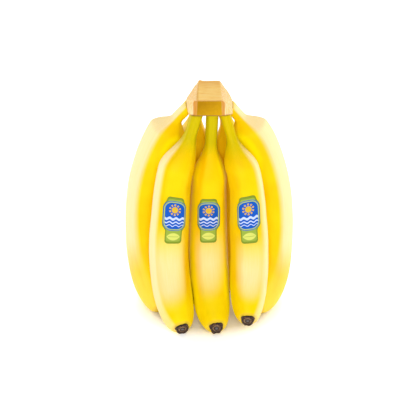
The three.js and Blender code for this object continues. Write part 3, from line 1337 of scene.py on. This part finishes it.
@dataclass(frozen=True)
class BlossomEnd:
    """The dried stub at a finger's end: a ragged rim round two rings and a raised middle."""

    finger: Finger
    # Radius and height along the stub's section, from its foot over the rim to the middle.
    section: tuple[Pair, ...] = (
        (5.7, -0.6),
        (6.2, 0.2),
        (6.5, 0.9),
        (6.45, 1.7),
        (6.0, 2.2),
        (5.3, 2.2),
        (4.7, 1.5),
        (4.2, 1.1),
        (3.6, 1.6),
        (3.1, 2.1),
        (2.6, 1.9),
        (2.2, 1.2),
        (1.8, 1.3),
        (1.3, 2.0),
        (0.6, 2.2),
    )
    sides: int = 84
    rings: int = 44
    rag: float = 0.75
    rag_size: float = 2.6
    rag_height: float = 0.3
    crumble: float = 0.3
    crumb_size: float = 1.1
    corner_reach: float = 1.1
    # The rim's corners: angle and width in radians, and share of the reach.
    corners: tuple[Triple, ...] = ((0.9, 0.24, 1.0), (5.4, 0.26, 0.6))
    # The rim's swings in and out: their size, how many there are round it, and a crest's angle.
    swings: tuple[tuple[float, int, float], ...] = ((0.42, 3, math.pi), (0.25, 4, 0.8))
    ring_radius: float = 3.2
    ring_width: float = 0.8
    full_height: float = 2.2
    outer_radii: Pair = (3.0, 6.0)  # over which the rim's raggedness comes in
    corner_heights: Pair = (0.3, 1.6)
    core_radii: Pair = (0.9, 1.9)
    tall: float = 1.16  # its height, as a share of its width

    def build(self) -> bpy.types.Object:
        """Makes the stub's mesh.

        Returns:
            The stub, with values for its place, how much each part stands up, its ring and its
            core.
        """
        finger = self.finger
        line, middle, ahead, front = finger.centreline()
        at = np.searchsorted(line, finger.length) - 1
        way, up = ahead[at], front[at]
        side = np.cross(way, up)
        section = np.array(self.section) * finger.stub
        along = np.linspace(0, len(section) - 1, self.rings)
        radius = np.interp(along, np.arange(len(section)), section[:, 0])
        height = np.interp(along, np.arange(len(section)), section[:, 1])
        r, angle = np.meshgrid(radius, angles_round(self.sides), indexing="ij")
        h = np.repeat(height[:, None], self.sides, 1)
        flat_place = np.stack([r * np.cos(angle), r * np.sin(angle), h], -1)
        ragged = soft_noise(flat_place, self.rag_size, finger.seed + 0.2).reshape(r.shape)
        crumbs = soft_noise(flat_place, self.crumb_size, finger.seed + 0.8).reshape(r.shape)
        outer = ease(r, *self.outer_radii)
        corners = sum(
            share * np.exp(-(((angle - at_angle) / width) ** 2))
            for at_angle, width, share in self.corners
        )
        swings = sum(size * np.cos(count * (angle - crest)) for size, count, crest in self.swings)
        corners = self.corner_reach * corners * ease(h, *self.corner_heights)
        r = r + outer * (self.rag * ragged + swings + corners)
        h = h + self.crumble * crumbs + self.rag_height * outer * ragged
        points = (
            middle[at]
            + way * h[..., None]
            + up * (self.tall * r * np.cos(angle))[..., None]
            + side * (r * np.sin(angle))[..., None]
        ).reshape(-1, 3)
        foot = middle[at] + way * section[0, 1]
        top = middle[at] + way * section[-1, 1]
        points = np.vstack([points, foot, top])
        points[:, 2] = np.maximum(points[:, 2], 0.0)
        crest = np.clip(h.ravel() / self.full_height, 0, 1)
        ring = 0.9 * np.exp(-(((r.ravel() - self.ring_radius) / self.ring_width) ** 2))
        values = {
            "place": np.vstack([flat_place.reshape(-1, 3), [0, 0, 0], [0, 0, 2]]),
            "crest": np.append(crest, [0, 1]),
            "ring": np.append(ring, [0, 0]),
            "core": np.append(0.8 * (1 - ease(r.ravel(), *self.core_radii)), [0, 1]),
        }
        return mesh_object(
            f"dried_end_{finger.name}", points, tube_faces(self.rings, self.sides), values
        )


@dataclass(frozen=True)
class FruitLabel:
    """A paper label with round corners and a wider middle, pressed onto a finger."""

    finger: Finger
    width: float = 22.0
    foot_width: float = 15.6
    print_height: float = 45.0
    corner: float = 3.0
    widens: Pair = (-20.5, -12.0)  # below its middle
    narrows: Pair = (4.5, 10.5)
    lift: float = 0.08
    thickness: float = 0.14
    across: int = 44
    down: int = 84

    def half_widths(self, from_middle: Rows) -> Rows:
        """Half the label's width at each distance below its middle."""
        straight_part = self.print_height / 2 - self.corner
        into = np.maximum(0, np.abs(from_middle) - straight_part)
        cut = self.corner - np.sqrt(np.maximum(0, self.corner**2 - into**2))
        wide = ease(from_middle, *self.widens) * (1 - ease(from_middle, *self.narrows))
        return self.foot_width / 2 + (self.width - self.foot_width) / 2 * wide - cut

    def build(self) -> bpy.types.Object:
        """Makes the label's mesh.

        Returns:
            The label, with its printed places as a value.
        """
        finger, place = self.finger, self.finger.label
        u = np.linspace(-1, 1, self.across + 1)
        v = np.sin(np.linspace(-0.5, 0.5, self.down + 1) * math.pi) * self.print_height / 2
        down, share = np.meshgrid(v, u, indexing="ij")
        sideways = share * self.half_widths(down)
        s = place.along + down * place.height / self.print_height
        angle = math.radians(place.round) + sideways / finger.radii(s)
        lifts = (self.lift, self.lift + self.thickness)
        layers = [finger.skin(s, angle, lift)[0] for lift in lifts]
        # Seen from outside, +X of the print is to the right, against the angle's turn.
        printed = np.stack([-sideways, -down, 0 * down], -1).reshape(-1, 3)
        rows, columns = self.down + 1, self.across + 1
        count = rows * columns
        faces = []
        for i in range(rows - 1):
            for j in range(columns - 1):
                a, b = i * columns + j, i * columns + j + 1
                c, d = b + columns, a + columns
                faces.append((count + a, count + d, count + c, count + b))
                faces.append((a, b, c, d))
        rim = list(range(columns))
        rim += [i * columns + columns - 1 for i in range(1, rows)]
        rim += [(rows - 1) * columns + j for j in range(columns - 2, -1, -1)]
        rim += [i * columns for i in range(rows - 2, 0, -1)]
        for k, a in enumerate(rim):
            b = rim[(k + 1) % len(rim)]
            faces.append((a, count + a, count + b, b))
        points = np.vstack([layer.reshape(-1, 3) for layer in layers])
        return mesh_object(
            f"paper_label_{finger.name}", points, faces, {"print": np.vstack([printed, printed])}
        )


FINGERS = (
    Finger(
        name="front_middle",
        root=(2.6, -5.9, 196.6),
        neck_lean=(-0.04, 0.1),
        body_lean=(0.02, -0.42),
        tip_aim=(74.8, 9.2),
        length=214,
        girth=18.2,
        lag=2,
        neck_length=27.4,
        shoulder_length=37.9,
        first_girth=0.89,
        taper_length=62,
        sunk=7,
        roll=25,
        label=LabelPlace(along=102.4, round=1, height=46),
        flare=0,
        seed=1.0,
    ),
    Finger(
        name="front_left",
        root=(-9.3, -7.1, 202.4),
        neck_lean=(-0.33, -0.17),
        body_lean=(0.13, 0.086),
        tip_aim=(66, 17.1),
        length=214.3,
        girth=18.1,
        lag=2.04,
        hump=Hump(height=4.1, start=30, peak=58.5, end=112),
        neck_length=21.2,
        shoulder_length=38.6,
        first_girth=0.893,
        taper_length=52,
        roll=32,
        label=LabelPlace(along=103, round=-10, height=45),
        green=0.95,
        flare=0,
        painted_highlight_side=-0.9,
        seed=2.0,
    ),
    Finger(
        name="front_right",
        root=(14.2, -6.6, 196.7),
        neck_lean=(0.28, -0.18),
        body_lean=(-0.15, 0.082),
        tip_aim=(68.8, -1.8),
        length=198.9,
        girth=17.6,
        lag=2.19,
        hump=Hump(height=4, start=30, peak=56.7, end=112),
        neck_radius=4.9,
        neck_length=19.4,
        shoulder_length=32.4,
        first_girth=0.85,
        taper_length=59,
        sunk=2,
        roll=22,
        label=LabelPlace(along=96.5, round=-1, height=45),
        green=0.85,
        flare=0,
        painted_highlight_side=0.8,
        seed=3.0,
    ),
    Finger(
        name="side_left",
        root=(-12.6, 4.7, 205.7),
        neck_lean=(-0.7, 0.16),
        body_lean=(-0.186, 0.266),
        tip_aim=(57.8, 28.6),
        length=227,
        girth=17.9,
        lag=1.11,
        hump=Hump(height=5.9, start=-12, peak=45.2, end=158),
        neck_length=24.3,
        shoulder_length=17,
        roll=26,
        green=0.12,
        painted_highlight_side=-1,
        painted_highlight_belly=0,
        stub=0.6,
        seed=4.0,
    ),
    Finger(
        name="side_right",
        root=(11.5, 4.4, 205.4),
        neck_lean=(0.505, 0.11),
        body_lean=(0.088, 0.001),
        tip_aim=(67.4, -34.2),
        length=223.5,
        girth=17.8,
        lag=1.87,
        hump=Hump(height=11.4, start=-18.5, peak=53, end=172.6),
        neck_length=21.2,
        shoulder_length=16.7,
        roll=-27,
        green=0.12,
        painted_highlight_side=1,
        painted_highlight_belly=0,
        stub=0.6,
        seed=5.0,
    ),
    Finger(
        name="back_left",
        root=(-8.4, 13, 210.1),
        neck_lean=(-0.2, 0.51),
        body_lean=(-0.03, 0),
        tip_aim=(27, 7.5),
        length=214.6,
        girth=17.3,
        lag=1.02,
        roll=12,
        green=0.3,
        painted_highlight_side=-0.7,
        painted_highlight_belly=0,
        seed=6.0,
    ),
    Finger(
        name="back_right",
        root=(7.2, 14.3, 205.2),
        neck_lean=(0.4, 0.5),
        body_lean=(-0.17, 0.01),
        tip_aim=(27, -10),
        length=209.8,
        girth=17.2,
        lag=1,
        sunk=3,
        roll=-15,
        green=0.3,
        painted_highlight_side=0.7,
        painted_highlight_belly=0,
        seed=7.0,
    ),
)


# ------------------------------------------------------------------------------------------------
# The studio
# ------------------------------------------------------------------------------------------------


@dataclass(frozen=True)
class Softbox:
    """A square or oblong light with a diffuser, aimed at a point. Metres and watts."""

    name: str
    place: Triple
    aim: Triple
    size: Pair
    power: float
    colour: str = "#FFFFFF"

    def build(self) -> None:
        """Hangs the light."""
        lamp = bpy.data.lights.new(self.name, "AREA")
        lamp.shape = "RECTANGLE"
        lamp.size, lamp.size_y = self.size
        lamp.energy = self.power
        lamp.color = linear(self.colour)[:3]
        thing = bpy.data.objects.new(self.name, lamp)
        thing.location = self.place
        way = Vector(self.aim) - Vector(self.place)
        thing.rotation_euler = way.to_track_quat("-Z", "Y").to_euler()
        bpy.context.scene.collection.objects.link(thing)


@dataclass(frozen=True)
class Studio:
    """A white floor, soft lights all round and a camera a little above the bunch."""

    target: Triple = (-0.93, -13.7, 110.0)  # mm
    distance: float = 1000.0  # mm
    elevation: float = 25.0  # degrees
    scale: float = 0.92  # mm to a pixel at the target
    picture_width: int = 416
    sensor: float = 36.0  # mm
    floor_reach: float = 6.0  # m
    white: str = "#FFFFFF"
    air: float = 0.25
    softboxes: tuple[Softbox, ...] = (
        Softbox("front_low", (0, -1.35, 0.35), (0, 0, 0.09), (0.5, 0.3), 3.4),
        Softbox("front_key", (0.05, -1.25, 0.75), (0, 0, 0.09), (0.42, 0.34), 4.5),
        Softbox("front_high", (0, -0.9, 1.2), (0, 0, 0.09), (0.5, 0.4), 3.0),
        Softbox("left_rim", (-0.8, 0.45, 0.35), (0, 0, 0.12), (0.4, 0.9), 4.8),
        Softbox("right_rim", (0.8, 0.45, 0.35), (0, 0, 0.12), (0.4, 0.9), 5.8),
        Softbox("behind", (0, 1.1, 0.9), (0, 0, 0.1), (1.2, 0.5), 1.9),
        Softbox("overhead", (0, 0.2, 1.3), (0, 0, 0), (1.4, 1.4), 3.4),
    )

    def build_camera(self) -> None:
        """Stands the camera where the bunch is looked at from."""
        camera = bpy.data.cameras.new("camera")
        camera.sensor_width = self.sensor
        camera.lens = self.distance / self.scale * self.sensor / self.picture_width
        thing = bpy.data.objects.new("camera", camera)
        rise = math.radians(self.elevation)
        back = Vector((0.0, -math.cos(rise), math.sin(rise)))
        thing.location = (Vector(self.target) + back * self.distance) * MM
        thing.rotation_euler = (-back).to_track_quat("-Z", "Y").to_euler()
        bpy.context.scene.collection.objects.link(thing)
        bpy.context.scene.camera = thing

    def build_floor(self) -> bpy.types.Object:
        """Lays the floor under the bunch."""
        reach = self.floor_reach / MM
        corners = np.array([(x, y, 0) for x, y in ((-1, -1), (1, -1), (1, 1), (-1, 1))]) * reach
        floor = mesh_object("floor", corners, [(0, 1, 2, 3)])
        floor.data.materials.append(PaintedFloor().material())
        return floor

    def build_air(self) -> None:
        """Fills the room with an even white light."""
        scene = bpy.context.scene
        world = bpy.data.worlds.new("white_room")
        world.use_nodes = True
        background = world.node_tree.nodes["Background"]
        background.inputs["Color"].default_value = linear(self.white)
        background.inputs["Strength"].default_value = self.air
        scene.world = world
        scene.view_settings.view_transform = "Standard"

    def build(self) -> bpy.types.Object:
        """Sets the whole studio up.

        Returns:
            The floor.
        """
        self.build_camera()
        self.build_air()
        for softbox in self.softboxes:
            softbox.build()
        return self.build_floor()


def dress(
    piece: bpy.types.Object, material: bpy.types.Material, node: str
) -> None:
    """Gives a piece its finish and its place in the bunch.

    Args:
        piece: The piece.
        material: What it is made of.
        node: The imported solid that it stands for.
    """
    piece.data.materials.append(material)
    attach(piece, "root")
    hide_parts(node)
    LOG.info("%s stands for %s, %d faces", piece.name, node, len(piece.data.polygons))


def main() -> None:
    """Builds the studio and the bunch."""
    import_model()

    Studio().build()
    peel = BananaPeel().material()
    blossom = DriedBlossom().material()
    paper = PrintedLabel().material()
    crown = Crown()
    dress(crown.build(), CutCrown().material(), "crown")
    for finger in FINGERS:
        others = [other for other in FINGERS if other is not finger]
        dress(finger.build(crown, others), peel, f"finger_{finger.name}")
        dress(BlossomEnd(finger).build(), blossom, f"blossom_end_{finger.name}")
        if finger.label:
            dress(FruitLabel(finger).build(), paper, f"label_{finger.name}")


if __name__ == "__main__":
    logging.basicConfig(level=logging.INFO, format="%(message)s")
    main()
